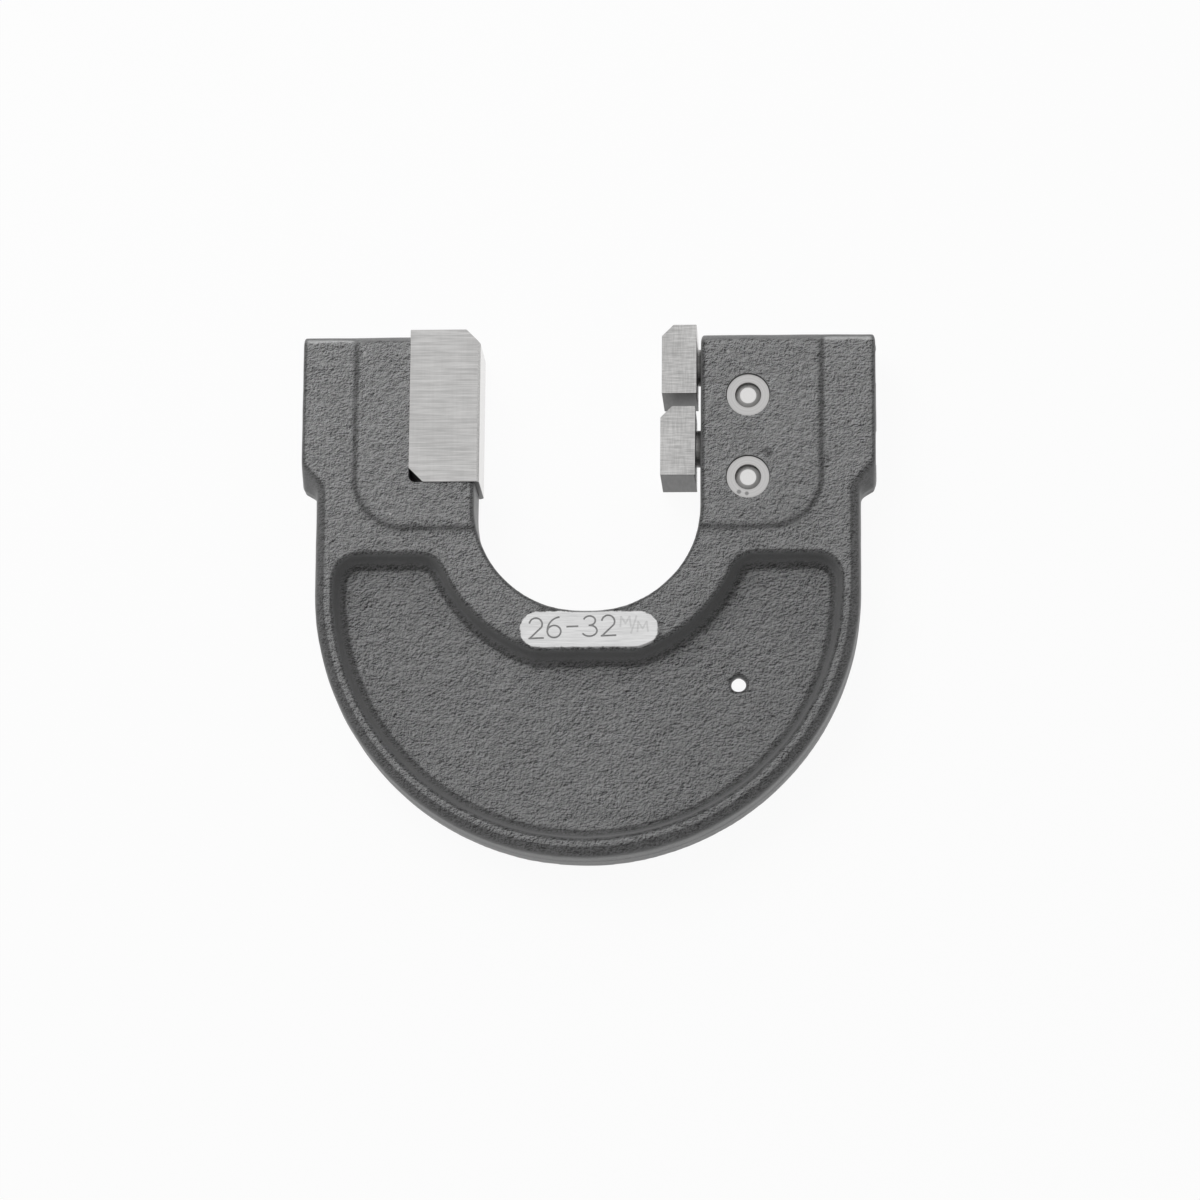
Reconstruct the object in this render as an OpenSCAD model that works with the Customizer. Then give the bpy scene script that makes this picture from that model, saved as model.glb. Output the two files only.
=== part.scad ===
// Adjustable snap gauge: a cast horseshoe frame with one fixed anvil block in the left arm
// and two square-headed gauging buttons, GO above NOT-GO, sliding in the right arm.
// The gauge lies on its back. X runs across the measuring gap, Y up the arms, Z through the frame.
// Sizes are in millimetres.

/* [Frame] */
// Radius of the round lower end, which is half the width of the body
frame_radius = 46.9; // [46:0.1:50]
// Thickness of the casting at the arms and the rim
frame_thickness = 10.4; // [9.6:0.1:12]
// Height of the arms above the middle of the round end
arm_height = 44.9; // [44:0.1:52]
// Radius of the two rounded corners at the bottom of the throat
throat_radius = 18.6; // [17:0.1:19.2]
// Depth of the bow, from the bottom of the throat to the bottom of the frame
bow_depth = 42.9; // [41:0.1:44]
// Width of the bevel round the outer edge
rim_bevel_width = 1.6; // [1:0.1:1.9]
// Depth of the bevel round the outer edge
rim_bevel_depth = 1.3; // [0.8:0.1:2]

/* [Shoulders] */
// How far the shoulders stand out from the sides of the body
shoulder_step = 2.7; // [1.5:0.1:3.5]
// Length of the shoulders, down from the tops of the arms
shoulder_length = 25.5; // [24:0.1:27]
// How far the drafted lower end of a shoulder slopes back
shoulder_draft = 2.6; // [1:0.1:3]
// Depth of that slope, from the front or back face of the casting
shoulder_draft_depth = 4; // [2:0.1:4.5]

/* [Arm panels] */
// How far the panels on the arms are raised
panel_raise = 0.6; // [0.3:0.1:1]
// Distance from the outer face of a shoulder to the foot of the panel
panel_border = 8.7; // [7:0.1:9.5]
// Length of the panel's foot, down from the top of the arm
panel_length = 35; // [33:0.1:36]
// Radius of the panel's lower outer corner
panel_corner = 9.5; // [6:0.1:12]
// Width of the sloping edge of the panel
panel_slope = 1.3; // [0.6:0.1:2]

/* [Recess] */
// Thickness of the web left between the two recesses
web_thickness = 2.8; // [2:0.1:4]
// Width of the rim outside the recess
rim_width = 2.7; // [2.4:0.1:4]
// Width of the land between the throat's corners and the recess
land_width = 8.2; // [7.4:0.1:9]
// Distance from the foot of the panel to the recess
bridge_width = 3.4; // [2:0.1:5]
// Radius of the corners at the mouth of the recess
recess_corner = 4.7; // [4:0.1:5.5]
// Radius of the rounded edge at the mouth of the recess
recess_edge = 0.6; // [0.4:0.1:0.9]
// Radius of the fillet between the wall and the web
recess_fillet = 2; // [1.2:0.1:2.4]
// Draft of the recess wall, in degrees
recess_draft = 15; // [8:1:20]

/* [Marking boss and hang hole] */
// Length of the marking boss under the throat
boss_length = 23.8; // [20:0.1:26]
// Height of the marking boss
boss_height = 6.5; // [5:0.1:6.8]
// How far the marking boss is raised
boss_raise = 0.3; // [0.2:0.05:0.6]
// Distance from the throat down to the marking boss
boss_setback = 0.2; // [0.1:0.1:0.6]
// Sideways shift of the marking boss
boss_shift = 0.5; // [0:0.1:1]
// Diameter of the hang hole in the web
hang_hole_diameter = 2.7; // [2:0.1:4]
// Distance of the hang hole from the middle of the round end
hang_hole_reach = 30.6; // [29:0.1:32]
// Direction of the hang hole below the X axis, in degrees
hang_hole_angle = 32; // [25:1:45]

/* [Anvil block] */
// Width of the block across the gap
block_width = 12.2; // [11:0.1:14]
// Length of the block up the arm
block_length = 27.3; // [26:0.1:29]
// Depth of the block through the frame
block_depth = 12.2; // [12.2:0.1:14]
// How far the gauging face stands out from the arm
block_reach = 0.8; // [0.6:0.1:2]
// Height of the block's top above the arm
block_rise = 1; // [0:0.1:2]
// Size of the block's lead-in and seat chamfers
block_chamfer = 2.5; // [1.8:0.1:3]
// Size of the small chamfers along the gauging face
block_edge = 0.5; // [0.3:0.1:0.8]
// Radius in the corner of the block's notch
notch_corner = 1.2; // [0.6:0.1:1.6]

/* [Gauging buttons] */
// Gap between the anvil and the GO button, as set
go_gap = 31.4; // [26.5:0.1:31.8]
// Gap between the anvil and the NOT-GO button, as set
not_go_gap = 31.2; // [26.5:0.1:31.8]
// Widest gap of the gauge
widest_gap = 32; // [31.9:0.1:33]
// Thickness of a button's head across the gap
head_thickness = 6; // [5:0.1:6.4]
// Length of a button's head up the arm
head_length = 12.3; // [10:0.1:12.8]
// Depth of a button's head through the frame
head_depth = 11.8; // [10:0.1:12.1]
// Size of the lead-in chamfer on a head
head_chamfer = 2; // [1:0.1:2.6]
// Distance from the top of the arm down to the GO button's axis
go_button_drop = 4.55; // [4.4:0.05:5.5]
// Distance between the axes of the two buttons
button_spacing = 14.6; // [14:0.1:15]
// Diameter of a button's shank
shank_diameter = 6.4; // [6:0.1:6.8]
// Chamfer at the end of a shank
shank_chamfer = 0.5; // [0.2:0.1:0.8]

/* [Adjusting screws] */
// Diameter of the adjusting screws' thread
adjusting_screw_diameter = 6; // [5:0.1:6.2]
// Length of the adjusting screws
adjusting_screw_length = 11; // [9:0.1:11.4]
// How far an adjusting screw lies inside the arm's outer face at the widest gap
adjusting_screw_inset = 0.5; // [0.2:0.1:1]
// Width of the driver slot in an adjusting screw
adjusting_slot_width = 1; // [0.6:0.1:1.4]
// Depth of the driver slot in an adjusting screw
adjusting_slot_depth = 1.6; // [1:0.1:2.4]
// Chamfer at both ends of an adjusting screw
adjusting_screw_chamfer = 0.6; // [0.3:0.1:0.9]

/* [Button locks] */
// Diameter of the lock nuts and lock bushings
lock_diameter = 7.4; // [7:0.1:7.8]
// Distance of a lock's axis below the axis of its shank
lock_drop = 6.4; // [6.2:0.05:6.6]
// Distance of the lock axes from the throat's face of the arm
lock_inset = 8.2; // [7.5:0.1:8.6]
// How far the locks lie below the face of the panel
lock_recess = 0.5; // [0.45:0.05:0.8]
// Gap between the lock nut and the lock bushing
lock_gap = 0.8; // [0.5:0.1:1.2]
// Diameter of the lock screws' thread
lock_screw_diameter = 4.4; // [3.6:0.1:4.6]
// Diameter of the flat at the end of a lock screw
lock_screw_flat = 2.8; // [2:0.1:3.2]
// Length of the chamfered end of a lock screw
lock_screw_point = 0.7; // [0.4:0.1:1]
// How far the end of a lock screw lies below the face of its nut
lock_screw_inset = 0.3; // [0.1:0.1:0.8]
// Diameter of the lock screw's head
lock_head_diameter = 6.8; // [6:0.1:6.9]
// Height of the lock screw's head
lock_head_height = 1.9; // [1.6:0.1:2.2]
// Width of the driver slot in a lock screw
lock_slot_width = 1; // [0.6:0.1:1.4]
// Depth of the driver slot in a lock screw
lock_slot_depth = 1; // [0.6:0.1:1.2]

/* [Anvil screws] */
// Diameter of the anvil screws' thread
anvil_screw_diameter = 4; // [3:0.1:4.4]
// Length of an anvil screw's thread in the block
anvil_screw_grip = 6.5; // [4:0.1:8]
// Diameter of an anvil screw's head
anvil_head_diameter = 6.2; // [5.6:0.1:6.4]
// Height of an anvil screw's head
anvil_head_height = 4; // [3:0.1:5]
// Depth of the counterbore for an anvil screw's head
counterbore_depth = 10; // [6:0.1:12]
// Distance between the two anvil screws
anvil_screw_spacing = 14.6; // [12:0.1:16]
// Width of the driver slot in an anvil screw
anvil_slot_width = 1; // [0.6:0.1:1.4]
// Depth of the driver slot in an anvil screw
anvil_slot_depth = 1.5; // [1:0.1:2]

/* [Fits] */
// Radial clearance of a sliding shank, a lock or a thread in its bore
running_clearance = 0.05; // [0.03:0.01:0.08]
// Radial clearance of a screw in a plain hole
hole_clearance = 0.2; // [0.1:0.05:0.3]
// Room left between a head and the arm at the widest gap
head_clearance = 0.1; // [0.1:0.05:0.4]
// Room left behind a shank at the widest gap
bore_allowance = 0.3; // [0.2:0.1:0.6]

/* [Hidden] */
$fn = 64;
hull_facets = 32;
arc_steps = 3;
long_arc_steps = 32;
slice = 0.1;
overcut = 1;

casting_colour = "#6f7172";
ground_steel_colour = "#c9cac8";
dark_steel_colour = "#5b5c5e";
bright_steel_colour = "#d6d6d2";

// Main levels of the casting, about its middle plane
face = frame_thickness / 2;
panel_face = face + panel_raise;
throat_face = (block_reach + widest_gap + head_thickness + head_clearance) / 2;
throat_flat = throat_face - throat_radius;
shoulder_face = frame_radius + shoulder_step;
throat_centre = bow_depth - frame_radius + throat_radius;
rest_height = block_depth / 2;

// Lower end of a shoulder and the panel's foot
shoulder_end = arm_height - shoulder_length;
panel_foot = arm_height - panel_length;
panel_side = shoulder_face - panel_border;

// Marking boss, under the throat
boss_top = throat_centre - throat_radius - boss_setback;
boss_foot = boss_top - boss_height;

// Mouth of the recess: an outer round, an inner round about the throat and a straight top
recess_depth = face - web_thickness / 2;
recess_outer = frame_radius - rim_width;
recess_inner = throat_radius + land_width;
recess_top = panel_foot - bridge_width;
corner_level = recess_top - recess_corner;
outer_corner_x = sqrt(pow(recess_outer - recess_corner, 2) - pow(corner_level, 2));
inner_corner_x = sqrt(pow(recess_inner + recess_corner, 2) - pow(throat_centre - corner_level, 2));
outer_corner_angle = atan2(corner_level, outer_corner_x);
inner_corner_angle = atan2(corner_level - throat_centre, inner_corner_x);

// Section of the recess wall: rounded edge, drafted wall, fillet to the web
wall_length = (recess_depth - recess_edge - recess_fillet
  + (recess_edge + recess_fillet) * sin(recess_draft)) / cos(recess_draft);
wall_width = (recess_edge + recess_fillet) * cos(recess_draft) + wall_length * sin(recess_draft);

// Fixed anvil
gauging_face = block_reach - throat_face;
block_back = gauging_face - block_width;
block_top = arm_height + block_rise;
block_foot = block_top - block_length;
block_middle = (block_top + block_foot) / 2;
anvil_screw_levels = [for (side = [1, -1]) block_middle + side * anvil_screw_spacing / 2];
screw_seat = counterbore_depth - shoulder_face;

// Buttons and their bores. A shank reaches from its head to its adjusting screw.
widest_seat = gauging_face + widest_gap + head_thickness;
shank_length = shoulder_face - adjusting_screw_inset - adjusting_screw_length - widest_seat;
go_level = arm_height - go_button_drop;
not_go_level = go_level - button_spacing;
shank_bore_end = widest_seat + shank_length + bore_allowance;
back_middle = (max(block_top, go_level + head_length / 2) - frame_radius) / 2;

// Locks, by their distance from the middle plane
lock_x = throat_face + lock_inset;
lock_face = panel_face - lock_recess;
lock_head_seat = lock_face - lock_head_height;
lock_screw_end = lock_face - lock_screw_inset;

function arc(radius, from, to, steps = arc_steps) =
  [for (i = [0 : steps]) let (a = from + (to - from) * i / steps) radius * [cos(a), sin(a)]];

// A run of points without its first or its last
function after_first(points) = [for (i = [1 : len(points) - 1]) points[i]];
function before_last(points) = [for (i = [0 : len(points) - 2]) points[i]];

// Points of the recess wall as [distance in from the mouth, height above the web]
function wall_section() = concat(
  [for (p = arc(recess_edge, 90, recess_draft)) p + [0, recess_depth - recess_edge]],
  [for (p = arc(recess_fillet, 180 + recess_draft, 270)) p + [wall_width, recess_fillet]]
);

// The outline of the recess, drawn in by an even distance, from its left outer corner: the left top,
// round the throat with a straight run under the boss, the right top, and back along the rim
function recess_outline(inset) =
  let (
    corner = recess_corner - inset,
    outer = recess_outer - inset,
    inner = recess_inner + inset,
    run_level = boss_foot - inset,
    run_angle = asin((run_level - throat_centre) / inner),
    inner_steps = long_arc_steps / 2 - 1,
    right_outer = [outer_corner_x, corner_level],
    right_inner = [inner_corner_x, corner_level],
    left_outer = [-outer_corner_x, corner_level],
    left_inner = [-inner_corner_x, corner_level]
  )
  concat(
    [for (p = arc(corner, 180 - outer_corner_angle, 90)) p + left_outer],
    [for (p = arc(corner, 90, -inner_corner_angle)) p + left_inner],
    after_first([for (p = arc(inner, 180 - inner_corner_angle, 180 - run_angle, inner_steps))
      p + [0, throat_centre]]),
    [[0, run_level]],
    before_last([for (p = arc(inner, run_angle, inner_corner_angle, inner_steps)) p + [0, throat_centre]]),
    [for (p = arc(corner, 180 + inner_corner_angle, 90)) p + right_inner],
    [for (p = arc(corner, 90, outer_corner_angle)) p + right_outer],
    after_first(before_last(arc(outer, outer_corner_angle, -180 - outer_corner_angle, long_arc_steps)))
  );

// The packed frame: on its back, over the middle of its outline
module placed() {
  translate([0, -back_middle, rest_height]) children();
}

module both_faces() {
  children();
  mirror([0, 0, 1]) children();
}

module both_arms() {
  children();
  mirror([1, 0, 0]) children();
}

// A cylinder along X between two places, at a height up the arm
module bar(level, from, to, diameter) {
  translate([from, level, 0]) rotate([0, 90, 0]) cylinder(d = diameter, h = to - from);
}

// A cylinder through the frame between two heights
module post(x, level, from, to, diameter) {
  translate([x, level, from]) cylinder(d = diameter, h = to - from);
}

// Half of the body's section, with its bevelled edge
function rim_section() = [
  [frame_radius - rim_bevel_width, -face], [frame_radius, rim_bevel_depth - face],
  [frame_radius, face - rim_bevel_depth], [frame_radius - rim_bevel_width, face]
];

module body_blank() {
  half = rim_section();
  rotate_extrude(start = 180, angle = 180)
    polygon(concat([[0, -face]], half, [[0, face]]));
  translate([0, arm_height, 0]) rotate([90, 0, 0]) linear_extrude(arm_height)
    polygon(concat(half, [for (i = [len(half) - 1 : -1 : 0]) [-half[i][0], half[i][1]]]));
}

// A raised shoulder, with a hollow fillet and a drafted face at its lower end
module shoulder() {
  difference() {
    translate([0, 0, -face]) linear_extrude(frame_thickness) polygon(concat(
      [[panel_side, arm_height], [shoulder_face, arm_height]],
      [for (p = arc(shoulder_step, 90, 180)) p + [shoulder_face, shoulder_end - shoulder_step]],
      [[panel_side, shoulder_end - shoulder_step]]
    ));
    both_faces() translate([panel_side, 0, 0]) rotate([90, 0, 90])
      linear_extrude(shoulder_face)
        polygon([
          [shoulder_end - shoulder_step - overcut, face - shoulder_draft_depth],
          [shoulder_end, face - shoulder_draft_depth], [shoulder_end + shoulder_draft, face],
          [shoulder_end + shoulder_draft, face + overcut],
          [shoulder_end - shoulder_step - overcut, face + overcut]
        ]);
  }
}

// One level of a panel, drawn in from its foot on the three free sides
module panel_level(inset, height, depth) {
  corner = [panel_side - panel_corner, panel_foot + panel_corner];
  translate([0, 0, height]) {
    translate(corner) cylinder(r = panel_corner - inset, h = depth, $fn = hull_facets);
    linear_extrude(depth) polygon([
      [0, panel_foot + inset], [panel_side - inset, arm_height - inset], [0, arm_height - inset]
    ]);
  }
}

module panel() {
  hull() {
    panel_level(0, face - panel_raise, panel_raise);
    panel_level(panel_slope, panel_face - slice, slice);
  }
}

module throat() {
  translate([0, throat_centre, -frame_thickness]) linear_extrude(2 * frame_thickness) {
    both_arms() translate([throat_flat, 0]) circle(r = throat_radius);
    translate([-throat_flat, -throat_radius]) square([2 * throat_flat, throat_radius]);
    translate([-throat_face, 0]) square([2 * throat_face, arm_height]);
  }
}

// The recess in one face: its mouth drawn in level by level down the wall section
module recess() {
  levels = concat([[0, recess_depth + overcut]], wall_section());
  count = len(recess_outline(0));
  last = len(levels) - 1;
  points = [for (level = levels) for (p = recess_outline(level[0])) [p[0], p[1], level[1]]];
  walls = [
    for (k = [0 : last - 1]) for (i = [0 : count - 1])
      let (j = (i + 1) % count)
        [k * count + j, k * count + i, (k + 1) * count + i, (k + 1) * count + j]
  ];
  // Strips between the throat's side and the rim's side of the outline close the mouth and the web
  side = count / 2 - 1;
  inner = [for (i = [0 : side]) arc_steps + 1 + i];
  outer = [for (i = [0 : side]) (arc_steps - i + count) % count];
  mouth = [for (i = [0 : side - 1]) [inner[i], inner[i + 1], outer[i + 1], outer[i]]];
  web = [for (strip = mouth) [for (i = [3 : -1 : 0]) last * count + strip[i]]];
  translate([0, 0, web_thickness / 2]) polyhedron(points, concat(walls, mouth, web));
}

// The bare field for the size marks, under the throat on the front
module marking_boss() {
  run = (boss_length - boss_height) / 2;
  translate([boss_shift, (boss_top + boss_foot) / 2, 0]) {
    both_arms() translate([run, 0, 0]) cylinder(d = boss_height, h = face + boss_raise);
    translate([-run, -boss_height / 2, 0]) cube([2 * run, boss_height, face + boss_raise]);
  }
}

// The notch that seats the anvil block, open to the gap and at the top
module anvil_notch() {
  foot = [block_back + notch_corner, block_foot + notch_corner];
  reach = [2 * throat_face, block_length + overcut];
  translate([0, 0, -frame_thickness]) linear_extrude(2 * frame_thickness) {
    translate(foot) circle(r = notch_corner);
    translate([foot[0], block_foot]) square(reach);
    translate([block_back, foot[1]]) square(reach);
  }
}

module anvil_screw_holes() {
  for (level = anvil_screw_levels) {
    bar(level, -shoulder_face - overcut, screw_seat, anvil_head_diameter + 2 * hole_clearance);
    bar(level, screw_seat - overcut, block_back + overcut, anvil_screw_diameter + 2 * hole_clearance);
  }
}

// Bores for one button: its shank, its adjusting screw and its lock
module button_bores(level) {
  bar(level, 0, shank_bore_end, shank_diameter + 2 * running_clearance);
  bar(level, throat_face, shoulder_face + overcut, adjusting_screw_diameter + 2 * running_clearance);
  post(lock_x, level - lock_drop, -frame_thickness, frame_thickness,
    lock_diameter + 2 * running_clearance);
}

module frame() {
  color(casting_colour) placed() difference() {
    union() {
      body_blank();
      both_arms() shoulder();
      both_arms() both_faces() panel();
      marking_boss();
    }
    throat();
    both_faces() recess();
    anvil_notch();
    anvil_screw_holes();
    button_bores(go_level);
    button_bores(not_go_level);
    rotate(-hang_hole_angle) post(hang_hole_reach, 0, -web_thickness, web_thickness, hang_hole_diameter);
  }
}

module anvil_block() {
  half = block_depth / 2;
  color(ground_steel_colour) placed() difference() {
    intersection() {
      translate([0, 0, -half]) linear_extrude(block_depth) polygon([
        [block_back + block_chamfer, block_foot], [gauging_face, block_foot],
        [gauging_face, block_top - block_chamfer], [gauging_face - block_chamfer, block_top],
        [block_back, block_top], [block_back, block_foot + block_chamfer]
      ]);
      translate([0, block_top, 0]) rotate([90, 0, 0]) linear_extrude(block_length) polygon([
        [block_back, -half], [gauging_face - block_edge, -half], [gauging_face, block_edge - half],
        [gauging_face, half - block_edge], [gauging_face - block_edge, half], [block_back, half]
      ]);
    }
    for (level = anvil_screw_levels)
      bar(level, block_back - overcut, block_back + anvil_screw_grip + hole_clearance,
        anvil_screw_diameter + 2 * running_clearance);
  }
}

// A slotted cheese-head screw that holds the anvil block from the outer face of the arm
module anvil_screw(level) {
  color(dark_steel_colour) placed() difference() {
    union() {
      bar(level, screw_seat - anvil_head_height, screw_seat, anvil_head_diameter);
      bar(level, screw_seat, block_back + anvil_screw_grip, anvil_screw_diameter);
    }
    translate([screw_seat - anvil_head_height, level, 0])
      cube([2 * anvil_slot_depth, anvil_slot_width, 2 * anvil_head_diameter], center = true);
  }
}

module anvil_screw_upper() { anvil_screw(anvil_screw_levels[0]); }
module anvil_screw_lower() { anvil_screw(anvil_screw_levels[1]); }

// A gauging button: a square head with a lead-in chamfer, on a round shank
module button(level, gap) {
  tip = gauging_face + gap;
  seat = tip + head_thickness;
  color(ground_steel_colour) placed() {
    translate([0, level, -head_depth / 2]) linear_extrude(head_depth) polygon([
      [tip, -head_length / 2], [seat, -head_length / 2], [seat, head_length / 2],
      [tip + head_chamfer, head_length / 2], [tip, head_length / 2 - head_chamfer]
    ]);
    translate([seat, level, 0]) rotate([0, 90, 0]) rotate_extrude() polygon([
      [0, 0], [shank_diameter / 2, 0], [shank_diameter / 2, shank_length - shank_chamfer],
      [shank_diameter / 2 - shank_chamfer, shank_length], [0, shank_length]
    ]);
  }
}

module go_button() { button(go_level, go_gap); }
module not_go_button() { button(not_go_level, not_go_gap); }

// A headless adjusting screw that bears on the end of a shank
module adjusting_screw(level, gap) {
  nose = gauging_face + gap + head_thickness + shank_length;
  radius = adjusting_screw_diameter / 2;
  color(dark_steel_colour) placed() translate([nose, level, 0]) difference() {
    rotate([0, 90, 0]) rotate_extrude() polygon([
      [0, 0], [radius - adjusting_screw_chamfer, 0], [radius, adjusting_screw_chamfer],
      [radius, adjusting_screw_length - adjusting_screw_chamfer],
      [radius - adjusting_screw_chamfer, adjusting_screw_length], [0, adjusting_screw_length]
    ]);
    translate([adjusting_screw_length, 0, 0])
      cube([2 * adjusting_slot_depth, adjusting_slot_width, 4 * radius], center = true);
  }
}

module go_adjusting_screw() { adjusting_screw(go_level, go_gap); }
module not_go_adjusting_screw() { adjusting_screw(not_go_level, not_go_gap); }

// The hollow that a lock needs to grip the shank above it
module shank_hollow(level) {
  bar(level, lock_x - lock_diameter, lock_x + lock_diameter, shank_diameter + 2 * running_clearance);
}

// The threaded half of a lock, seen as a bright ring in the front panel
module lock_nut(level) {
  color(bright_steel_colour) placed() difference() {
    post(lock_x, level - lock_drop, lock_gap / 2, lock_face, lock_diameter);
    post(lock_x, level - lock_drop, 0, panel_face, lock_screw_diameter + 2 * running_clearance);
    shank_hollow(level);
  }
}

module go_lock_nut() { lock_nut(go_level); }
module not_go_lock_nut() { lock_nut(not_go_level); }

// The plain half of a lock, drawn up from the back by the screw
module lock_bushing(level) {
  color(bright_steel_colour) placed() difference() {
    post(lock_x, level - lock_drop, -lock_head_seat, -lock_gap / 2, lock_diameter);
    post(lock_x, level - lock_drop, -panel_face, 0, lock_screw_diameter + 2 * running_clearance);
    shank_hollow(level);
  }
}

module go_lock_bushing() { lock_bushing(go_level); }
module not_go_lock_bushing() { lock_bushing(not_go_level); }

// The slotted screw that draws the two halves of a lock together
module lock_screw(level) {
  flat = lock_screw_flat / 2;
  shaft = lock_screw_diameter / 2;
  head = lock_head_diameter / 2;
  color(dark_steel_colour) placed() translate([lock_x, level - lock_drop, 0]) difference() {
    rotate_extrude() polygon([
      [0, -lock_face], [head, -lock_face], [head, -lock_head_seat], [shaft, -lock_head_seat],
      [shaft, lock_screw_end - lock_screw_point], [flat, lock_screw_end], [0, lock_screw_end]
    ]);
    translate([0, 0, -lock_face])
      cube([2 * lock_head_diameter, lock_slot_width, 2 * lock_slot_depth], center = true);
  }
}

module go_lock_screw() { lock_screw(go_level); }
module not_go_lock_screw() { lock_screw(not_go_level); }

frame();
anvil_block();
anvil_screw_upper();
anvil_screw_lower();
go_button();
not_go_button();
go_adjusting_screw();
not_go_adjusting_screw();
go_lock_nut();
not_go_lock_nut();
go_lock_bushing();
not_go_lock_bushing();
go_lock_screw();
not_go_lock_screw();
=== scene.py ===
import math

import bmesh
import bpy
from mathutils import Matrix, Vector, noise


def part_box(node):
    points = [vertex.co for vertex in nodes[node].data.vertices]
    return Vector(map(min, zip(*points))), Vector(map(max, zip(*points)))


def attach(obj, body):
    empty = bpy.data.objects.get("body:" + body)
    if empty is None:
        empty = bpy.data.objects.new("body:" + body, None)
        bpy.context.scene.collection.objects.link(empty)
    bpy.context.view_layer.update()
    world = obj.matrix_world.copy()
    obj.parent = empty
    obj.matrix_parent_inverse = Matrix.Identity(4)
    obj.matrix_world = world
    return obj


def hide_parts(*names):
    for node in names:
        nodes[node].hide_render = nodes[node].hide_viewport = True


MM = 0.001
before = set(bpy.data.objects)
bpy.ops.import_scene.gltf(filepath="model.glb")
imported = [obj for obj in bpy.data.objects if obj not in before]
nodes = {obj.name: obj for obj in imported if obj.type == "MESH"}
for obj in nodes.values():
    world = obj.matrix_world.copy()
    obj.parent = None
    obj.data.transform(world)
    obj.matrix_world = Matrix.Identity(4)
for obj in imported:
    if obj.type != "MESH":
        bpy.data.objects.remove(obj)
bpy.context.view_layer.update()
scene = bpy.context.scene


def size_of(node):
    """Lowest and highest corner of a CAD node, in millimetres."""
    return tuple(Vector(corner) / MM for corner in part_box(node))


def middle_of(node):
    """Middle of a CAD node's box, in millimetres."""
    return sum(size_of(node), Vector()) / 2


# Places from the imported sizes. All lengths are in millimetres, except for the lamps.
WAYS = ("go", "not_go")
frame_low, frame_high = size_of("frame")
anvil_low, anvil_high = size_of("anvil_block")
nut_low, nut_high = size_of("go_lock_nut")
middle_z = (frame_low.z + frame_high.z) / 2
arm_top = frame_high.y
shoulder_x = frame_high.x
lock_middles = [middle_of(f"{way}_lock_nut") for way in WAYS]
button_levels = [middle_of(f"{way}_adjusting_screw").y for way in WAYS]
screw_levels = [middle_of(f"anvil_screw_{place}").y for place in ("upper", "lower")]

# Cast sizes of the frame, and the grid of its skin
THROAT_X = 19.45
BODY_X = 46.9
SHOULDER_END = 18.5
HOLLOW_DEPTH = 4.0
PANEL_SLOPE = 1.3
PANEL_RAISE = 0.6
FRONT_Z = frame_high.z - PANEL_RAISE
REAR_Z = frame_low.z + PANEL_RAISE
SKIN_STEP = 0.46

# Machined sizes of the frame: the bores are radii
LOCK_CLEARANCE = 0.12
LOCK_BORE = (nut_high.x - nut_low.x) / 2 + LOCK_CLEARANCE
SHANK_BORE = 3.25
SHANK_BORE_END = 38.5
ADJUSTING_BORE = 3.05
COUNTERBORE = 3.3
COUNTERBORE_DEPTH = 10
ANVIL_SCREW_BORE = 2.2
NOTCH_CORNER = 1.2
PLUG_MARGIN = 0.3
CUT_MARGIN = 2.0

# The marking boss, with its ground face at BOSS_Z
BOSS_LOW = Vector((-11.4, -10.5, FRONT_Z))
BOSS_HIGH = Vector((12.4, -4.0, FRONT_Z + 0.3))
BOSS_Z = FRONT_Z + 0.25
boss_middle = (BOSS_LOW + BOSS_HIGH) / 2

# Marks on the boss: text, left, right, low and high side, depth
MARK_SLOPE = math.radians(2.0)
MARK_WIDTH = 0.3
NUMBER_LEVELS = (-8.5, -4.95)
NUMBER_DEPTH = 0.15
UNIT_DEPTH = 0.05
MARKS = (
    ("2", -9.75, -7.35, *NUMBER_LEVELS, NUMBER_DEPTH),
    ("6", -6.65, -4.25, *NUMBER_LEVELS, NUMBER_DEPTH),
    ("-", -3.2, -1.4, -6.85, -6.5, NUMBER_DEPTH),
    ("3", -0.45, 1.95, *NUMBER_LEVELS, NUMBER_DEPTH),
    ("2", 2.65, 5.05, *NUMBER_LEVELS, NUMBER_DEPTH),
    ("M", 5.9, 7.7, -7.0, -5.3, UNIT_DEPTH),
    ("/", 7.7, 8.7, -8.2, -5.3, UNIT_DEPTH),
    ("M", 8.8, 10.6, -8.0, -6.3, UNIT_DEPTH),
)

# Colour of the enamel, and wear on the front: x, y and radius
ENAMEL = (0.445, 0.446, 0.449)
PAINT_CHIPS = ((-38.8, 42.1, 0.38), (-33.9, 13.2, 0.3), (24.2, 41.9, 0.35))
PAINT_SMUDGE = (31.0, 23.8, 1.2)
RING_STAINS = {"go": (), "not_go": ((26.1, 16.9, 0.5), (27.45, 16.6, 0.45))}

# Steel pieces: how far a button's head reaches, and how wide broken edges are
BUTTON_HEAD = 6.05
BROKEN_EDGE = 0.12
TURNED_EDGE = 0.1
LOCK_SCREW_EDGE = 0.05

# Studio: the lamps are sized in metres, the image in pixels
LAMP_DISTANCE = 0.75
SURROUND_LIGHT = 0.3
FLOOR_HALF = 1500
FLOOR_Z = -0.1
FLOOR_WHITE = 0.94
SENSOR = 36
IMAGE_WIDTH = 1200


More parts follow.
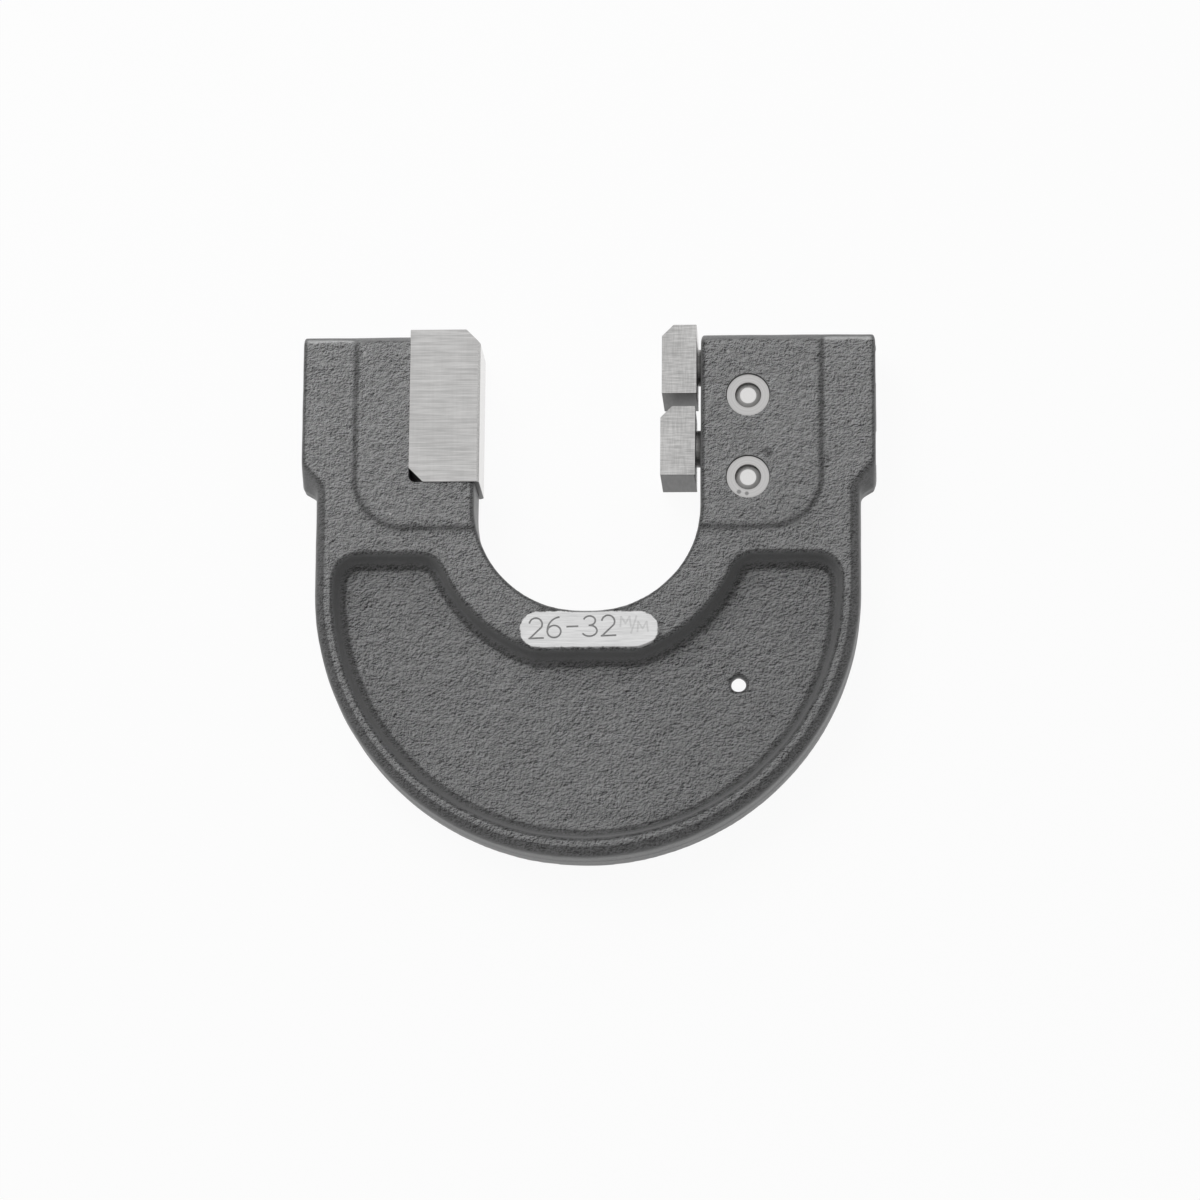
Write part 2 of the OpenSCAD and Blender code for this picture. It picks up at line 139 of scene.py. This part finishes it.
class Value:
    """A shader value: operators make math nodes, and node() makes any other node."""

    def __init__(self, tree, output):
        self.tree = tree
        self.output = output

    def node(self, kind, settings, inputs, output=0):
        """One of a new node's outputs, after its settings and the values or links of its sockets."""
        made = self.tree.nodes.new(kind)
        for name, setting in settings.items():
            setattr(made, name, setting)
        for name, value in inputs.items():
            if isinstance(value, Value):
                self.tree.links.new(value.output, made.inputs[name])
            else:
                made.inputs[name].default_value = value
        return Value(self.tree, made.outputs[output])

    def math(self, operation, *others):
        return self.node("ShaderNodeMath", {"operation": operation}, dict(enumerate((self, *others))))

    def __add__(self, other):
        return self.math("ADD", other)

    def __sub__(self, other):
        return self.math("SUBTRACT", other)

    def __rsub__(self, other):
        return self.node("ShaderNodeMath", {"operation": "SUBTRACT"}, {0: other, 1: self})

    def __mul__(self, other):
        return self.math("MULTIPLY", other)

    __radd__ = __add__
    __rmul__ = __mul__

    def between(self, low, high):
        """0 at low, 1 at high, smooth in between."""
        return self.node(
            "ShaderNodeMapRange", {"interpolation_type": "SMOOTHSTEP"},
            {"Value": self, "From Min": low, "From Max": high},
        )

    def mapped(self, centre=(0, 0, 0), scale=(1, 1, 1)):
        """These coordinates from a new centre, and stretched."""
        moved = [-c * s for c, s in zip(centre, scale)]
        return self.node("ShaderNodeMapping", {}, {"Vector": self, "Location": moved, "Scale": scale})

    def noise(self, size, detail=2.0, roughness=0.5):
        """Noise whose main waves are about as long as size."""
        return self.node(
            "ShaderNodeTexNoise", {},
            {"Vector": self, "Scale": 1 / size, "Detail": detail, "Roughness": roughness},
        )

    def flank(self, size, shift):
        """How much higher wrinkles of this size stand here than a short way off."""
        return self.noise(size, 5.0, 0.7) - self.mapped(shift).noise(size, 5.0, 0.7)

    def reach(self, x, y):
        """Distance from a point of the front, whatever the depth."""
        away = self.mapped((x, y, 0), (1, 1, 0))
        return self.node("ShaderNodeVectorMath", {"operation": "LENGTH"}, {0: away}, 1)

    def near(self, x, y, radius):
        """1 at a point of the front, 0 from radius on."""
        return 1 - self.reach(x, y).between(radius * 0.5, radius)

    def part(self, axis):
        """One coordinate of a vector."""
        return self.node("ShaderNodeSeparateXYZ", {}, {0: self}, axis)

    def pick(self, low, high):
        """The colour low where this is 0, and high where it is 1."""
        colours = [c if isinstance(c, Value) else (*c, 1) for c in (low, high)]
        return self.node(
            "ShaderNodeMix", {"data_type": "RGBA"}, {0: self, 6: colours[0], 7: colours[1]}, 2
        )

    def bump(self, height):
        """A normal for this relief, whose full height is given."""
        return self.node("ShaderNodeBump", {}, {"Height": self, "Distance": height * MM, "Strength": 1.0})


class Material:
    """A material with one principled shader and coordinates of the object in millimetres."""

    def __init__(self, name, metallic=0.0):
        self.data = bpy.data.materials.new(name)
        self.data.use_nodes = True
        self.tree = self.data.node_tree
        self.shader = self.tree.nodes["Principled BSDF"]
        metres = Value(self.tree, self.tree.nodes.new("ShaderNodeTexCoord").outputs["Object"])
        self.place = metres.mapped(scale=(1 / MM, 1 / MM, 1 / MM))
        self.normal = Value(self.tree, self.tree.nodes.new("ShaderNodeNewGeometry").outputs["Normal"])
        self.set("Metallic", metallic)

    def set(self, name, value):
        if isinstance(value, Value):
            self.tree.links.new(value.output, self.shader.inputs[name])
        else:
            self.shader.inputs[name].default_value = value


def grey(level, warmth=0.0):
    return (level * (1 + warmth), level, level * (1 - warmth))


def ground_field(place):
    """1 on the bare field of the marking boss, an obround with a ragged edge."""
    radius = (BOSS_HIGH.y - BOSS_LOW.y) / 2
    run = (BOSS_HIGH.x - BOSS_LOW.x) / 2 - radius
    from_middle = place.mapped((boss_middle.x, boss_middle.y, 0))
    beyond = (from_middle.part(0).math("ABSOLUTE") - run).math("MAXIMUM", 0.0)
    across = from_middle.part(1)
    reach = (beyond * beyond + across * across).math("SQRT")
    ragged = reach + place.noise(0.9, 3.0, 0.6) * 0.9 - 0.45
    inside = 1 - ragged.between(radius - 0.15, radius + 0.1)
    return inside * place.part(2).between(BOSS_HIGH.z - 0.35, BOSS_HIGH.z - 0.3)


def painted_casting():
    """Dark grey wrinkle enamel on the casting, ground off to bare metal on the marking boss."""
    paint = Material("wrinkle enamel")
    place = paint.place
    facing = paint.normal.part(2).math("ABSOLUTE")
    # flat is 1 on flat faces; below, the slopes get painted shade from it
    flat = facing.between(0.935, 0.994)
    # A band along the arms' ends: smoother wrinkles there, and a painted highlight in the enamel
    highlit_smooth_arm_ends = (place.part(1) + place.noise(1.5) * 0.6).between(arm_top - 1.0, arm_top - 0.5)

    # Wrinkles come in patches, and fade on the walls and at the arms' ends
    rough = facing.between(0.4, 0.9) * (1 - 0.8 * highlit_smooth_arm_ends) * (0.5 + place.noise(2.2, 2.0, 0.6))
    lying = place.mapped(scale=(0.8, 1.1, 1.0))
    wrinkles = lying.noise(0.45, 5.0, 0.7)
    grain = place.noise(0.3, 2.0, 0.6)
    relief = (wrinkles * 0.85 + grain * 0.15) * (rough * 0.85 + 0.15)
    # Painted light from above: the lower flanks of wrinkles get painted shade, their upper flanks painted
    # highlights
    flanks = lying.flank(0.45, (0.06, -0.1, 0)) + place.flank(1.7, (0.15, -0.4, 0)) * 0.25
    painted_emboss_light = 1 - rough * (0.9 * flanks.between(0.0, 0.08) - 0.6 * (0 - flanks).between(0.0, 0.08))
    # Painted shade in thin cracks along the middle of a coarse noise
    veins = (place.mapped(scale=(0.6, 1.3, 1)).noise(0.8, 3.0, 0.6) - 0.5).math("ABSOLUTE")
    painted_crack_shade = (1 - veins.between(0.0, 0.035)) * place.noise(1.1, 2.0, 0.5).between(0.45, 0.6) * rough

    # Enamel shade: painted shade on slopes, in low spots, on lower flanks and in cracks, painted highlights
    # on upper flanks and at the arms' ends; also a little paler up the arms and to the left, with a smudge
    clouds = 0.9 + 0.2 * place.noise(9.0, 3.0, 0.6)
    paler_up_and_left = 1 + 0.13 * place.part(1).between(-5, 30) - 0.06 * place.part(0).between(0, 25)
    smudge = 0.7 * place.near(*PAINT_SMUDGE) * wrinkles.between(0.3, 0.6)
    # Painted shade on slopes and in the low spots of the wrinkles, and a painted highlight at the arms'
    # ends
    shade = clouds * (0.75 + 0.5 * wrinkles) * painted_emboss_light * (0.4 + 0.6 * flat) * (1 + 0.3 * highlit_smooth_arm_ends)
    shade = shade * (1 - smudge) * paler_up_and_left * (1 - 0.5 * painted_crack_shade)
    enamel = shade.node("ShaderNodeVectorMath", {"operation": "SCALE"}, {0: ENAMEL, "Scale": shade})
    chips = sum(place.near(*chip) for chip in PAINT_CHIPS)
    skin = chips.pick(enamel, grey(0.8))

    bare = ground_field(place)
    grooves = (1 - place.part(2).between(BOSS_Z - 0.09, BOSS_Z - 0.03)) * bare
    scratches = place.mapped(scale=(0.25, 6.0, 1.0)).noise(1.0, 3.0, 0.6)
    metal = grooves.pick(scratches.between(0.2, 0.8).pick(grey(0.58), grey(0.78)), grey(0.26))

    paint.set("Base Color", bare.pick(skin, metal))
    paint.set("Metallic", bare)
    paint.set("Roughness", 0.42 - 0.1 * (wrinkles - 0.5))
    paint.set("Normal", (relief * (1 - bare) + scratches * bare * 0.1).bump(1.1))
    return paint.data


def ground_steel(name, light, dark, lines, across=0.1):
    """Ground or milled steel: marks as dense as lines says along each axis, and a share of marks across."""
    steel = Material(name, metallic=1.0)
    marks = steel.place.mapped(scale=lines).noise(1.0, 3.0, 0.6)
    crossing = steel.place.mapped(scale=(lines[1], lines[0], lines[2])).noise(1.0, 3.0, 0.6)
    clouds = steel.place.noise(4.0, 2.0, 0.5)
    tone = (marks * (0.85 - across) + crossing * across + clouds * 0.15).between(0.3, 0.7)
    steel.set("Base Color", tone.pick(grey(dark, 0.01), grey(light, 0.01)))
    steel.set("Roughness", 0.3 + 0.16 * marks)
    steel.set("Normal", marks.bump(0.006))
    return steel.data


def turned_steel(name, centre, light, dark, metallic=1.0, stains=()):
    """Turned steel, with fine rings about an axis along Z, and stains at places on the front."""
    steel = Material(name, metallic)
    reach = steel.place.reach(centre.x, centre.y)
    rings = reach.node("ShaderNodeCombineXYZ", {}, {0: reach}).noise(0.12, 2.0, 0.6)
    colour = rings.between(0.3, 0.7).pick(grey(dark, 0.01), grey(light, 0.01))
    for stain in stains:
        colour = (0.7 * steel.place.near(*stain)).pick(colour, grey(0.12))
    steel.set("Base Color", colour)
    steel.set("Roughness", 0.28 + 0.15 * rings)
    steel.set("Normal", rings.bump(0.008))
    return steel.data


def dark_steel(name, level):
    """Blackened steel of the screws, or the bare iron of a bore, in cloudy greys about a level."""
    steel = Material(name, metallic=1.0)
    clouds = steel.place.noise(1.2, 3.0, 0.6)
    steel.set("Base Color", clouds.between(0.3, 0.7).pick(grey(level * 0.7), grey(level * 1.3)))
    steel.set("Roughness", 0.36 + 0.2 * clouds)
    steel.set("Normal", clouds.bump(0.01))
    return steel.data


def linked(name, bm, materials):
    """A new object from a bmesh in millimetres."""
    bmesh.ops.scale(bm, vec=(MM, MM, MM), verts=bm.verts)
    mesh = bpy.data.meshes.new(name)
    bm.to_mesh(mesh)
    bm.free()
    for material in materials:
        mesh.materials.append(material)
    made = bpy.data.objects.new(name, mesh)
    scene.collection.objects.link(made)
    return made


def copy_of(node):
    """A merged copy of a CAD node's mesh, in millimetres."""
    bm = bmesh.new()
    bm.from_mesh(nodes[node].data)
    bmesh.ops.transform(bm, matrix=nodes[node].matrix_world, verts=bm.verts)
    bmesh.ops.scale(bm, vec=(1 / MM, 1 / MM, 1 / MM), verts=bm.verts)
    bmesh.ops.remove_doubles(bm, verts=bm.verts, dist=0.001)
    return bm


def cylinder(bm, start, end, radius):
    """A closed cylinder between two points, added to a bmesh."""
    start, end = Vector(start), Vector(end)
    turn = (end - start).to_track_quat("Z", "Y").to_matrix().to_4x4()
    place = Matrix.Translation((start + end) / 2) @ turn
    bmesh.ops.create_cone(
        bm, cap_ends=True, segments=64, radius1=radius, radius2=radius,
        depth=(end - start).length, matrix=place,
    )


def bore(bm, start, end, level, radius):
    """A closed cylinder along X at the height of a button or a screw, added to a bmesh."""
    cylinder(bm, (start, level, middle_z), (end, level, middle_z), radius)


def block(bm, low, high):
    """A closed box between two corners, added to a bmesh."""
    low, high = Vector(low), Vector(high)
    place = Matrix.Translation((low + high) / 2) @ Matrix.Diagonal((*(high - low), 1))
    bmesh.ops.create_cube(bm, size=1, matrix=place)


def prism(bm, outline, shift):
    """A closed solid from a flat outline, drawn out by a vector, added to a bmesh."""
    face = bm.faces.new([bm.verts.new(p) for p in outline])
    drawn = bmesh.ops.extrude_face_region(bm, geom=[face])["geom"]
    bmesh.ops.translate(bm, vec=shift, verts=[v for v in drawn if isinstance(v, bmesh.types.BMVert)])
    bmesh.ops.recalc_face_normals(bm, faces=bm.faces)


def bow(x, y, across, up, start, end, steps=14):
    """Points along part of an ellipse, between two angles in degrees."""
    turns = (math.radians(start + (end - start) * i / steps) for i in range(steps + 1))
    return [(x + across * math.cos(a), y + up * math.sin(a)) for a in turns]


def groove(bm, points, width, low, high):
    """A thin upright solid along a run of points, added to a bmesh."""
    sides = ([], [])
    for before, here, after in zip([points[0], *points], points, [*points[1:], points[-1]]):
        way = (after - before).normalized() * (width / 2)
        end = way * 0.8 if here is points[0] else way * -0.8 if here is points[-1] else way * 0
        across = Vector((-way.y, way.x))
        sides[0].append(here - end + across)
        sides[1].append(here - end - across)
    outline = [(p.x, p.y, low) for p in (*sides[0], *reversed(sides[1]))]
    prism(bm, outline, (0, 0, high - low))


def apply(obj, kind, **settings):
    """Finishes an object with one modifier."""
    modifier = obj.modifiers.new(kind, kind)
    for name, setting in settings.items():
        setattr(modifier, name, setting)
    with bpy.context.temp_override(object=obj, active_object=obj, selected_objects=[obj]):
        bpy.ops.object.modifier_apply(modifier=modifier.name)


def cut(obj, shape, *sizes):
    """Takes a closed solid, made by one of the functions above, away from an object."""
    bm = bmesh.new()
    shape(bm, *sizes)
    cutter = linked("cutter", bm, [])
    apply(obj, "BOOLEAN", operation="DIFFERENCE", solver="MANIFOLD", object=cutter)
    bpy.data.objects.remove(cutter)


# Strokes of the marks, in a box one wide and one high
STROKES = {
    "2": ([*bow(0.5, 0.69, 0.46, 0.31, 165, -32), (0.04, 0.0)], [(0.0, 0.0), (1.0, 0.0)]),
    "3": (bow(0.46, 0.77, 0.42, 0.23, 155, -90), bow(0.44, 0.27, 0.54, 0.27, 90, -150)),
    "6": (
        bow(0.95, 0.32, 0.93, 0.68, 95, 180), bow(0.5, 0.3, 0.48, 0.3, 0, 180),
        bow(0.5, 0.3, 0.48, 0.3, 180, 360),
    ),
    "-": ([(0.0, 0.5), (1.0, 0.5)],),
    "/": ([(0.0, 0.0), (1.0, 1.0)],),
    "M": ([(0, 0), (0.1, 1)], [(0.1, 1), (0.5, 0.3)], [(0.5, 0.3), (0.9, 1)], [(0.9, 1), (1, 0)]),
}


def engrave(casting, text, left, right, low, high, depth):
    """Cuts one mark into the ground face of the boss."""
    turn = Matrix.Rotation(MARK_SLOPE, 2)
    middle = boss_middle.to_2d()
    for stroke in STROKES[text]:
        points = [Vector((left + x * (right - left), low + y * (high - low))) for x, y in stroke]
        points = [middle + turn @ (p - middle) for p in points]
        cut(casting, groove, points, MARK_WIDTH, BOSS_Z - depth, BOSS_Z + 0.5)


def arm_section(x):
    """The outline of an arm's end across its length, with the panels' sloping ends."""
    top, bottom = frame_high.z, frame_low.z
    foot = anvil_low.y - PLUG_MARGIN
    return [
        (x, foot, bottom), (x, arm_top - PANEL_SLOPE, bottom), (x, arm_top, bottom + PANEL_RAISE),
        (x, arm_top, top - PANEL_RAISE), (x, arm_top - PANEL_SLOPE, top), (x, foot, top),
    ]


def notch_outline(z):
    """The outline of the anvil's notch, with its rounded inner corner."""
    left, foot, top = anvil_low.x, anvil_low.y, arm_top + CUT_MARGIN
    corner = bow(left + NOTCH_CORNER, foot + NOTCH_CORNER, NOTCH_CORNER, NOTCH_CORNER, 180, 270, 6)
    return [(x, y, z) for x, y in ((left, top), *corner, (0, foot), (0, top))]


def shoulder_foot(bm, side):
    """The lower end of a shoulder: a fillet down to the body, and slanting hollows front and rear."""
    inner = BODY_X - 1.7
    outer = shoulder_x - 0.1
    step = shoulder_x - BODY_X
    hollow_top = SHOULDER_END + 4.2
    front_foot, rear_foot = FRONT_Z - HOLLOW_DEPTH, REAR_Z + HOLLOW_DEPTH
    for face, foot in ((FRONT_Z, front_foot), (REAR_Z, rear_foot)):
        corners = [
            (shoulder_x - 0.2, hollow_top, face), (inner, SHOULDER_END - 0.6, face),
            (inner, hollow_top, face), (outer, SHOULDER_END, foot),
            (inner, SHOULDER_END - 2.4, foot), (inner, SHOULDER_END, foot),
        ]
        bmesh.ops.convex_hull(bm, input=[bm.verts.new((side * x, y, z)) for x, y, z in corners])
    fillet = bow(outer, SHOULDER_END - step, step, step, 90, 180, 8)
    above = SHOULDER_END + 2
    outline = [(inner, above), (outer, above), *fillet, (inner, SHOULDER_END - step)]
    prism(bm, [(side * x, y, rear_foot) for x, y in outline], (0, 0, front_foot - rear_foot))


def filled_casting():
    """The frame's form with every machined hole and the notch filled again."""
    bm = copy_of("frame")
    for middle in lock_middles:
        rear, front = (middle.x, middle.y, frame_low.z), (middle.x, middle.y, frame_high.z)
        cylinder(bm, rear, front, LOCK_BORE + PLUG_MARGIN)
    for level in button_levels:
        bore(bm, THROAT_X, shoulder_x, level, SHANK_BORE + PLUG_MARGIN)
    for level in screw_levels:
        bore(bm, -shoulder_x, anvil_low.x, level, COUNTERBORE + PLUG_MARGIN)
    notch_end = anvil_low.x - PLUG_MARGIN
    prism(bm, arm_section(notch_end), (-THROAT_X - notch_end, 0, 0))
    for side in (-1, 1):
        shoulder_foot(bm, side)
    return bm


def soften(mesh):
    """Rounds the edges of the skin."""
    bm = bmesh.new()
    bm.from_mesh(mesh)
    for _ in range(4):
        bmesh.ops.smooth_vert(
            bm, verts=bm.verts, factor=0.5, use_axis_x=True, use_axis_y=True, use_axis_z=True
        )
    bm.to_mesh(mesh)
    bm.free()


def roughen(mesh):
    """Moves the skin by low waves, finer ones on its flats, and a parting line round its outer wall."""
    wave_height, wave_length = 0.045, 4.5
    grain_height, grain_length = 0.04, 1.3
    ridge_height, ridge_width = 0.1, 0.32
    mesh.update()
    normals = [v.normal.copy() for v in mesh.vertices]
    for v, normal in zip(mesh.vertices, normals):
        p = v.co / MM
        flat = max(0.0, abs(normal.z) * 8 - 7)
        waves = wave_height * noise.noise(p / wave_length)
        waves += flat * grain_height * noise.noise(p / grain_length + Vector((7, 3, 5)))
        spoke = Vector((p.x, min(p.y, 0)))
        outward = max(0.0, normal.to_2d().dot(spoke) / max(1.0, spoke.length))
        ridge = ridge_height * outward ** 4 * math.exp(-(((p.z - middle_z) / ridge_width) ** 2))
        v.co = (p + normal * (waves + ridge)) * MM


def machine(casting):
    """Cuts the bores and the notch, and grinds the boss."""
    low, high = frame_low.z - CUT_MARGIN, frame_high.z + CUT_MARGIN
    outside = shoulder_x + CUT_MARGIN
    counterbore_end = COUNTERBORE_DEPTH - shoulder_x
    for middle in lock_middles:
        cut(casting, cylinder, (middle.x, middle.y, low), (middle.x, middle.y, high), LOCK_BORE)
    for level in button_levels:
        cut(casting, bore, 0, SHANK_BORE_END, level, SHANK_BORE)
        cut(casting, bore, THROAT_X, outside, level, ADJUSTING_BORE)
    for level in screw_levels:
        cut(casting, bore, -outside, counterbore_end, level, COUNTERBORE)
        cut(casting, bore, counterbore_end - 1, 0, level, ANVIL_SCREW_BORE)
    cut(casting, prism, notch_outline(low), (0, 0, high - low))
    low_corner = (BOSS_LOW.x - 1, BOSS_LOW.y - 0.5, BOSS_Z)
    high_corner = (BOSS_HIGH.x + 1, BOSS_HIGH.y + 0.5, BOSS_Z + CUT_MARGIN)
    cut(casting, block, low_corner, high_corner)


def machined(place, normal):
    """Whether a face of the casting is bare iron, in one of its bores or in the notch."""
    slack, square = 0.06, 0.3
    along_x, along_z = abs(normal.x) < square, abs(normal.z) < square
    levels, radius = (button_levels, SHANK_BORE) if place.x > 0 else (screw_levels, COUNTERBORE)
    in_bore = any(math.hypot(place.y - y, place.z - middle_z) < radius + slack for y in levels)
    in_lock = any((place - middle).to_2d().length < LOCK_BORE + slack for middle in lock_middles)
    in_notch = anvil_low.x - 0.01 < place.x < anvil_high.x and place.y > anvil_low.y - 0.01
    if along_z and in_lock:
        return True
    # Halfway through the thickness only bores are bare, so paint stays on the floor of the notch there
    if along_x and abs(place.z - middle_z) < COUNTERBORE + slack:
        return in_bore
    return along_z and in_notch


def cast_frame():
    """The casting with a soft, rough skin, its machined places and its marks, standing for the frame."""
    made = linked("cast_frame", filled_casting(), [painted_casting(), dark_steel("bare iron", 0.3)])
    apply(made, "REMESH", mode="VOXEL", voxel_size=SKIN_STEP * MM)
    soften(made.data)
    roughen(made.data)
    machine(made)
    for mark in MARKS:
        engrave(made, *mark)
    for face in made.data.polygons:
        face.use_smooth = True
        face.material_index = int(machined(face.center / MM, face.normal))
    made.data.set_sharp_from_angle(angle=math.radians(40))
    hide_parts("frame")
    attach(made, "frame")


def one_finish(face):
    """The first material on every face."""
    return 0


def steel_side(face):
    """Milled steel darkened as painted shade on the undersides, lapped on the gauging faces and ground
    elsewhere.
    """
    if abs(face.normal.x) > 0.95:
        return 2
    return 1 if face.normal.y < -0.6 else 0


def lock_screw_side(face):
    """A bright end at the front with a dull chamfer, dark steel elsewhere."""
    if face.normal.z > 0.9:
        return 1
    return 2 if face.normal.z > 0.3 else 0


def finished(node, finish, body, materials, choose=one_finish, edge=BROKEN_EDGE):
    """A CAD node with its hard edges broken, standing for that node."""
    bm = copy_of(node)
    bmesh.ops.dissolve_limit(bm, angle_limit=math.radians(1), verts=bm.verts, edges=bm.edges)
    hard = [e for e in bm.edges if len(e.link_faces) == 2 and e.calc_face_angle() > math.radians(28)]
    bmesh.ops.bevel(
        bm, geom=hard, offset=edge, offset_type="OFFSET", affect="EDGES", segments=2, profile=0.5,
        material=-1, clamp_overlap=True,
    )
    bm.normal_update()
    for face in bm.faces:
        face.material_index = choose(face)
        face.smooth = True
    made = linked(f"{node}_{finish}", bm, materials)
    made.data.set_sharp_from_angle(angle=math.radians(20))
    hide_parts(node)
    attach(made, body)


def steel_pieces():
    """The anvil block, the buttons, their locks and all the screws."""
    ground = ground_steel("ground steel", light=0.6, dark=0.4, lines=(0.15, 4.3, 4.3))
    scratched = ground_steel("scratched steel", light=0.62, dark=0.32, lines=(0.3, 3.5, 3.5), across=0.3)
    lapped = ground_steel("lapped steel", light=0.88, dark=0.8, lines=(0.3, 4.0, 4.0))
    # Painted shade: the downward-facing undersides get this much darker milled steel
    shaded_milled = ground_steel("milled steel", light=0.13, dark=0.05, lines=(2.0, 0.7, 0.3))
    shank = ground_steel("shank steel", light=0.4, dark=0.25, lines=(0.3, 3.0, 3.0))
    dark = dark_steel("dark steel", 0.12)

    finished("anvil_block", "ground", "frame", [ground, shaded_milled, lapped], steel_side)
    for screw in ("anvil_screw_upper", "anvil_screw_lower"):
        finished(screw, "slotted", "frame", [dark])

    for way, middle in zip(WAYS, lock_middles):
        button, bushing, screw = f"{way}_button", f"{way}_lock_bushing", f"{way}_lock_screw"
        seat = size_of(button)[0].x + BUTTON_HEAD
        finished(
            button, "ground", button, [scratched, shaded_milled, lapped, shank],
            lambda face: 3 if face.calc_center_median().x > seat else steel_side(face),
        )
        finished(f"{way}_adjusting_screw", "slotted", f"{way}_adjusting_screw", [dark])

        ring = turned_steel(f"{way} turned ring", middle, light=0.6, dark=0.42, stains=RING_STAINS[way])
        end = turned_steel(f"{way} turned end", middle, light=0.74, dark=0.66)
        chamfer = turned_steel(f"{way} turned chamfer", middle, light=0.5, dark=0.4, metallic=0.3)
        finished(f"{way}_lock_nut", "turned", "frame", [ring], edge=TURNED_EDGE)
        finished(bushing, "turned", bushing, [ring], edge=TURNED_EDGE)
        finished(screw, "slotted", screw, [dark, end, chamfer], lock_screw_side, LOCK_SCREW_EDGE)


def rays(tree, *kinds):
    """For each kind of ray, a value that is 1 on rays of that kind."""
    path = tree.nodes.new("ShaderNodeLightPath")
    return [Value(tree, path.outputs[f"Is {kind} Ray"]) for kind in kinds]


def surround():
    """A surround that is white to the camera and to reflections, and lights the gauge dimly."""
    world = bpy.data.worlds.new("studio")
    scene.world = world
    world.use_nodes = True
    tree = world.node_tree
    seen, mirrored = rays(tree, "Camera", "Glossy")
    strength = seen.math("MAXIMUM", mirrored) * (1 - SURROUND_LIGHT) + SURROUND_LIGHT
    background = tree.nodes["Background"]
    background.inputs["Color"].default_value = (1, 1, 1, 1)
    tree.links.new(strength.output, background.inputs["Strength"])


def softbox(name, side, radiance, direction):
    """A square lamp that shines on the gauge from a direction, and doesn't show in the steel."""
    lamp = bpy.data.lights.new(name, "AREA")
    lamp.shape = "SQUARE"
    lamp.size = side
    lamp.energy = radiance * math.pi * side ** 2
    made = bpy.data.objects.new(name, lamp)
    scene.collection.objects.link(made)
    towards = Vector(direction).normalized()
    turn = towards.to_track_quat("Z", "Y").to_matrix().to_4x4()
    made.matrix_world = Matrix.Translation(towards * LAMP_DISTANCE) @ turn
    made.visible_glossy = False


def pale_floor():
    """A floor that is nearly white to the camera, keeps the shadow, and is clear from below."""
    material = bpy.data.materials.new("pale floor")
    material.use_nodes = True
    tree = material.node_tree
    matt = tree.nodes["Principled BSDF"]
    matt.inputs["Base Color"].default_value = (0.9, 0.9, 0.9, 1)
    matt.inputs["Roughness"].default_value = 1.0
    white = tree.nodes.new("ShaderNodeEmission")
    clear = tree.nodes.new("ShaderNodeBsdfTransparent")
    matt, white, clear = (Value(tree, shader.outputs[0]) for shader in (matt, white, clear))
    seen = sum(rays(tree, "Camera", "Glossy", "Transmission"))
    from_below = Value(tree, tree.nodes.new("ShaderNodeNewGeometry").outputs["Backfacing"])
    top = seen.node("ShaderNodeMixShader", {}, {0: seen * FLOOR_WHITE, 1: matt, 2: white})
    both = seen.node("ShaderNodeMixShader", {}, {0: from_below, 1: top, 2: clear})
    tree.links.new(both.output, tree.nodes["Material Output"].inputs["Surface"])

    bm = bmesh.new()
    place = Matrix.Translation((0, 0, FLOOR_Z))
    bmesh.ops.create_grid(bm, x_segments=1, y_segments=1, size=FLOOR_HALF, matrix=place)
    floor = linked("floor", bm, [material])
    # Lets the rear softbox through
    floor.visible_shadow = False


def camera(aim, tilt, yaw, roll, distance, focal):
    """A camera that looks at aim from so many degrees below and to the right; focal is in pixels."""
    tilt, yaw, roll = (math.radians(angle) for angle in (tilt, yaw, roll))
    back = Vector((math.sin(yaw) * math.cos(tilt), -math.sin(tilt), math.cos(yaw) * math.cos(tilt)))
    level = Vector((0, 1, 0)).cross(back).normalized()
    upright = back.cross(level)
    right = level * math.cos(roll) + upright * math.sin(roll)
    up = upright * math.cos(roll) - level * math.sin(roll)
    turn = Matrix((right, up, back)).transposed().to_4x4()
    data = bpy.data.cameras.new("camera")
    data.sensor_width = SENSOR
    data.lens = SENSOR * focal / IMAGE_WIDTH
    data.clip_start = 0.05
    data.clip_end = 10
    made = bpy.data.objects.new("camera", data)
    scene.collection.objects.link(made)
    made.matrix_world = Matrix.Translation((Vector(aim) + back * distance) * MM) @ turn
    scene.camera = made


cast_frame()
steel_pieces()
surround()
softbox("softbox", side=0.5, radiance=3.0, direction=(-0.4, 0.5, 0.85))
softbox("side softbox", side=0.6, radiance=0.6, direction=(0.0, 0.9, 0.42))
softbox("rear softbox", side=0.3, radiance=5.0, direction=(0.0, 0.0, -1.0))
pale_floor()
camera(aim=(2.07, -0.82, 6.1), tilt=13.6, yaw=3.2, roll=0.47, distance=900, focal=5230)
scene.view_settings.view_transform = "Standard"
